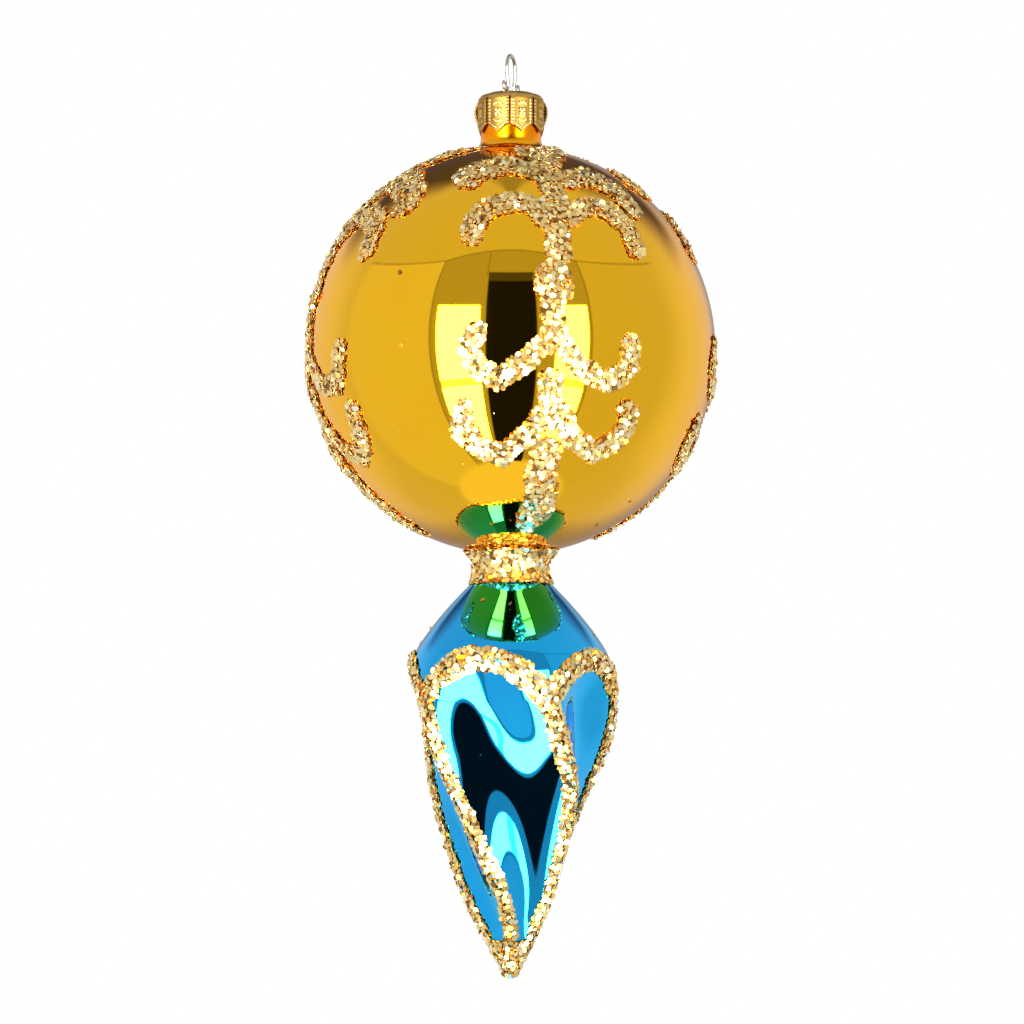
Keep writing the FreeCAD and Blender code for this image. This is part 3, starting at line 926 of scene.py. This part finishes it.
def springWire(materials):
    line = throughPoints(hangerPath(), hanger["spanSteps"])
    sides, radius = hanger["sides"], hanger["wire"] / 2
    ahead = (line[1] - line[0]).normalized()
    side = ahead.orthogonal().normalized()
    points = []
    for i, place in enumerate(line):
        newAhead = (line[min(i + 1, len(line) - 1)] - line[max(i - 1, 0)]).normalized()
        side.rotate(ahead.rotation_difference(newAhead))
        ahead = newAhead
        up = ahead.cross(side)
        for k in range(sides):
            a = 2 * math.pi * k / sides
            points.append(place + (side * math.cos(a) + up * math.sin(a)) * radius)
    faces = ringFaces(len(line), sides)
    faces.append(tuple(range(sides)))
    faces.append(tuple(range(len(points) - sides, len(points))))
    mesh = finishMesh("springWire", points, faces, 50)
    setRevolvedUv(mesh, len(line), sides)
    return linkPiece("springWire", mesh, "hanger", ["hanger_wire"], materials)


def dustSpecks(at):
    # a few tiny specks caught in the lacquer
    specks = at.add("ShaderNodeTexVoronoi", {"feature": "F1"},
                    {"Vector": at.objectPlace(), "Scale": 620.0})
    return (1.0 - specks.rise(0.06, 0.12)) * at.cloud(170, 1).rise(0.6, 0.66)


def goldLacquer():
    # clear gold lacquer over silvered glass, deeper at the neck where it ran thick
    neckStart, neckFull = ballMiddle.z + 0.0385, flareMiddle.z + 0.001

    def paint(at):
        height = at.add("ShaderNodeSeparateXYZ", None, {"Vector": at.objectPlace()}).twin("Z")
        clearNeck = height.rise(neckStart, neckFull)
        thick = clearNeck + at.cloud(45, 3) * 0.2 - 0.09
        colour = thick.between((0.97, 0.53, 0.0), (1.0, 0.29, 0.0))
        dust = dustSpecks(at)
        return {"Base Color": (dust * 0.5).between(colour, (0.75, 0.6, 0.4)),
                "Roughness": 0.024 + 0.02 * at.cloud(70, 2) + 0.3 * dust + 0.24 * clearNeck,
                "Coat Weight": 0.38 - 0.3 * clearNeck,
                "Normal": at.relief(at.cloud(38, 1), 0.00005)}
    return makeMaterial("goldLacquer", {"Metallic": 1.0, "Specular Tint": (1.0, 0.8, 0.72),
                                        "Coat Roughness": 0.03}, paint)


def blueLacquer():
    def paint(at):
        flow = at.cloud(40, 3)
        colour = flow.rise(0.35, 0.7).between((0.0, 0.41, 0.92), (0.001, 0.50, 1.0))
        dust = dustSpecks(at)
        return {"Base Color": (dust * 0.7).between(colour, (0.0, 0.12, 0.3)),
                "Roughness": 0.03 + 0.02 * at.cloud(80, 2) + 0.3 * dust,
                "Normal": at.relief(at.cloud(60, 2), 0.00007)}
    return makeMaterial("blueLacquer", {"Metallic": 1.0, "Specular Tint": (0.62, 0.88, 1.0),
                                        "Coat Weight": 0.42, "Coat Roughness": 0.03}, paint)


def silveringInside():
    def paint(at):
        cloud = at.cloud(180, 4)
        return {"Base Color": cloud.between((0.42, 0.42, 0.41), (0.66, 0.66, 0.65)),
                "Roughness": 0.3 + 0.25 * cloud}
    return makeMaterial("silveringInside", {"Metallic": 1.0}, paint)


def giltSheet():
    # satin gilt, coloured brighter and glossier on what stands out and darker in the low parts of
    # the stamping
    def paint(at):
        stamp = at.add("ShaderNodeAttribute", {"attribute_name": "stamp"}, output="Fac")
        cloud = at.cloud(420, 4)
        # the share of the bright gilt colour: highest where the sheet stands out, lowest in its
        # low parts
        brightShare = (stamp * 0.75 + cloud * 0.4).rise(0.25, 0.95)
        return {"Base Color": brightShare.between((0.33, 0.175, 0.03), (0.74, 0.48, 0.15)),
                "Roughness": 0.4 - 0.14 * brightShare + 0.08 * cloud,
                "Normal": at.relief(at.cloud(1900, 2), 0.00002)}
    return makeMaterial("giltSheet", {"Metallic": 1.0, "Specular Tint": (1.0, 0.93, 0.8)}, paint)


def bareSheet():
    def paint(at):
        cloud = at.cloud(500, 4)
        return {"Base Color": cloud.between((0.26, 0.215, 0.17), (0.43, 0.37, 0.31)),
                "Roughness": 0.42 + 0.18 * cloud}
    return makeMaterial("bareSheet", {"Metallic": 1.0}, paint)


def springNickel():
    def paint(at):
        stretched = at.objectPlace() * (1.0, 1.0, 0.12)
        lines = at.cloud(5200, 2, stretched)
        cloud = at.cloud(300, 3)
        return {"Base Color": cloud.between((0.40, 0.36, 0.30), (0.62, 0.58, 0.51)),
                "Roughness": 0.2 + 0.16 * lines,
                "Normal": at.relief(lines, 0.000012)}
    return makeMaterial("springNickel", {"Metallic": 1.0}, paint)


def flakeFoil():
    # metallised film, each flake with its own tone and gloss, plus painted light: a few near-white
    # flakes are painted glints, a few dark brown ones are painted shade, and the under layer's
    # deeper amber is partly painted shade
    def paint(at):
        flakeDraw = at.add("ShaderNodeAttribute", {"attribute_name": "flake"}, output="Color")
        parts = at.add("ShaderNodeSeparateColor", None, {"Color": flakeDraw})
        pick, gloss, layer = parts, parts.twin("Green"), parts.twin("Blue")
        # the under layer's deeper amber is partly its own tone and partly painted shade under the
        # upper flakes
        deep = pick.between((0.66, 0.28, 0.03), (0.80, 0.46, 0.09))
        pale = pick.rise(0.0, 0.7).between((0.79, 0.53, 0.15), (0.92, 0.74, 0.33))
        # the highest picks turn near white, a painted glint
        bright = pick.rise(0.88, 0.95).between(pale, (1.0, 0.92, 0.68))
        colour = layer.between(deep, bright)
        # the lowest picks turn dark brown, a painted shade for flakes that reflect something dark
        return {"Base Color": pick.rise(0.03, 0.07).between((0.30, 0.16, 0.04), colour),
                "Roughness": 0.22 + 0.26 * gloss}
    return makeMaterial("flakeFoil", {"Metallic": 1.0, "Coat Weight": 0.15}, paint)


camera = {"target": Vector((0.0002, 0, -0.0895)), "azimuth": 0.0, "elevation": -4.0,
          "distance": 1.0, "lens": 180.0, "sensor": 36.0}


def placeCamera():
    data = bpy.data.cameras.new("camera")
    data.lens = camera["lens"]
    data.sensor_width = camera["sensor"]
    data.clip_start = 0.01
    data.dof.use_dof = False
    holder = bpy.data.objects.new("camera", data)
    bpy.context.scene.collection.objects.link(holder)
    up = math.radians(camera["elevation"])
    away = radial(camera["azimuth"], math.cos(up), math.sin(up))
    holder.location = camera["target"] + away * camera["distance"]
    holder.rotation_euler = (-away).to_track_quat("-Z", "Y").to_euler()
    bpy.context.scene.camera = holder


# brightness of each part of the room
levels = {"wallLeft": 0.84, "wallRight": 0.70, "nearWall": 0.50, "ceiling": 0.72,
          "sweep": 0.72, "rim": 0.36, "ground": 1.0, "gap": 0.012, "gapTop": 0.09,
          "window": 19.0, "softPatch": 0.95, "topPatch": 0.1}

# where they are, in degrees: azimuths from the front, positive towards +X, and heights
room = {
    "corner": 46.0,
    "ceilingMiddle": 52.0,
    "ceilingSink": 0.0043,  # how far the ceiling's edge drops, by degree squared
    "ceilingSlope": 0.18,  # and by degree past the corner
    "edgeLine": 0.6,
    "edgeDark": 0.35,  # share of the light lost along an edge
    "panelLine": (-15.4, -14.6),
    "panelHeights": (36, 50),
    "sweepStart": (99, 108),
    "rimStart": (150, 172),
    "groundStart": (67, 71),
    "gap": (-14, 14.6),
    "gapHeights": (-70, 38),
    "gapTopHeights": (33, 40),
    "leftWindow": (-42, -17.5),
    "rightWindow": (25, 44),
    "windowHeights": (-61, 19),
    "windowBar": (-24, -20),
    "softRight": (108, 150),
    "softLeft": (-156, -112),
    "softHeights": (-35, 30),
    "topHeights": (26, 63),
    "topStart": (120, 152),
}


def blendLevel(low, high, share):
    return low + (high - low) * share


def roomLevel(at, azimuth, above):
    # walls, ceiling and the thin dark edges between them
    around = abs(azimuth)
    corner = room["corner"]
    near = azimuth.band(-corner, corner, 0.5)
    # the ceiling's edge sinks towards the corners and on along the side walls
    inCorner = at.math("MINIMUM", around, corner)
    beyond = at.math("MAXIMUM", around - corner, 0.0)
    overEdge = above - (room["ceilingMiddle"] - inCorner * inCorner * room["ceilingSink"]
                        - beyond * room["ceilingSlope"])
    ceiling = overEdge.rise(-0.4, 0.4)
    level = blendLevel(levels["wallLeft"], levels["wallRight"], azimuth.rise(-60, 60))
    level = blendLevel(level, levels["nearWall"], near)
    level = blendLevel(level, levels["ceiling"], ceiling)
    half = room["edgeLine"]
    upright = (azimuth.band(-corner - half, -corner + half, 0.3)
               + azimuth.band(corner - half, corner + half, 0.3))
    lines = overEdge.band(-0.5, 0.5, 0.3) + upright * (1.0 - ceiling)
    panel = azimuth.band(*room["panelLine"], 0.3) * above.band(*room["panelHeights"], 0.3)
    return level * (1.0 - room["edgeDark"] * (lines + panel))


def softWorld():
    # a pale room with tall windows and a narrow dark gap, so the mirrors have shapes in them
    world = bpy.data.worlds.new("softRoom")
    bpy.context.scene.world = world
    world.use_nodes = True
    tree = world.node_tree
    tree.nodes.clear()
    at = Socket(tree)
    ray = at.add("ShaderNodeTexCoord", output="Generated")
    x = at.add("ShaderNodeSeparateXYZ", None, {"Vector": ray})
    azimuth = at.math("ARCTAN2", x, -x.twin("Y")) * (180 / math.pi)
    above = at.math("ARCSINE", x.twin("Z")) * (180 / math.pi)
    around = abs(azimuth)
    level = roomLevel(at, azimuth, above)
    # the pale sweep behind the ornament, and the table under it
    level = blendLevel(level, levels["sweep"], around.rise(*room["sweepStart"]))
    level = blendLevel(level, levels["rim"], around.rise(*room["rimStart"]))
    level = blendLevel(level, levels["ground"], (-above).rise(*room["groundStart"]))
    gap = azimuth.band(*room["gap"], 0.5) * above.band(*room["gapHeights"], 0.6)
    level = blendLevel(level, levels["gap"], gap)
    level = blendLevel(level, levels["gapTop"], gap * above.band(*room["gapTopHeights"], 0.4))
    bar = above.band(*room["windowBar"], 0.5)
    panes = above.band(*room["windowHeights"], 0.5) * (1.0 - 0.85 * bar)
    windows = azimuth.band(*room["leftWindow"], 0.5)
    windows = windows + 0.8 * azimuth.band(*room["rightWindow"], 0.5)
    level = blendLevel(level, levels["window"], windows * panes)
    sides = azimuth.band(*room["softRight"], 14) + azimuth.band(*room["softLeft"], 14)
    soft = sides * above.band(*room["softHeights"], 14)
    level = blendLevel(level, levels["softPatch"], soft * 0.7)
    top = above.band(*room["topHeights"], 5) * around.rise(*room["topStart"])
    level = blendLevel(level, levels["topPatch"], top)
    colour = top.between((1.0, 0.985, 0.97), (0.92, 0.8, 1.0))
    inMirrors = at.add("ShaderNodeBackground", None, {"Color": colour, "Strength": level})
    plain = at.add("ShaderNodeBackground", None, {"Color": (1.0, 1.0, 1.0), "Strength": 1.0})
    seen = at.add("ShaderNodeLightPath", output="Is Camera Ray")
    both = at.add("ShaderNodeMixShader", None, {0: seen, 1: inMirrors, 2: plain})
    output = tree.nodes.new("ShaderNodeOutputWorld")
    tree.links.new(both.output, output.inputs["Surface"])


floor = {"height": -0.30, "radius": 2.5, "columns": 96, "glow": 0.3}


def paleFloor():
    columns = floor["columns"]
    points = [Vector((0, 0, floor["height"]))]
    points += [radial(360 * k / columns, floor["radius"], floor["height"])
               for k in range(columns)]
    mesh = bpy.data.meshes.new("floor")
    mesh.from_pydata([tuple(p) for p in points], [],
                     [(0, 1 + k, 1 + (k + 1) % columns) for k in range(columns)])
    disc = bpy.data.objects.new("floor", mesh)
    bpy.context.scene.collection.objects.link(disc)
    mesh.materials.append(makeMaterial(
        "paleFloor", {"Roughness": 0.9, "Emission Strength": floor["glow"]},
        lambda at: {"Base Color": at.cloud(3).between((0.86, 0.86, 0.86), (0.9, 0.9, 0.9)),
                    "Emission Color": at.cloud(3).between((0.9, 0.9, 0.9), (1.0, 1.0, 1.0))}))
    disc.visible_glossy = False


lamp = {"size": 1.2, "energy": 14.0, "place": (-0.5, -0.7, 1.3), "aim": (0, 0, -0.1)}


def topLight():
    data = bpy.data.lights.new("topLight", "AREA")
    data.shape = "DISK"
    data.size = lamp["size"]
    data.energy = lamp["energy"]
    light = bpy.data.objects.new("topLight", data)
    bpy.context.scene.collection.objects.link(light)
    light.location = lamp["place"]
    towards = Vector(lamp["aim"]) - light.location
    light.rotation_euler = towards.to_track_quat("-Z", "Y").to_euler()
    light.visible_glossy = False


placeCamera()
softWorld()
paleFloor()
topLight()
bpy.context.scene.view_settings.view_transform = "Standard"
print("studio set")

inside = silveringInside()
goldBall([goldLacquer(), inside])
blueDrop([blueLacquer(), inside])
print("glass made")

crownCap([giltSheet(), bareSheet()])
springWire([springNickel()])
print("cap and hanger made")

foil = [flakeFoil()]
glitterSprigs(foil)
glitterCollar(foil)
glitterOutlines(foil)
glitterTip(foil)
strayFlakes(foil)
print("glitter made")
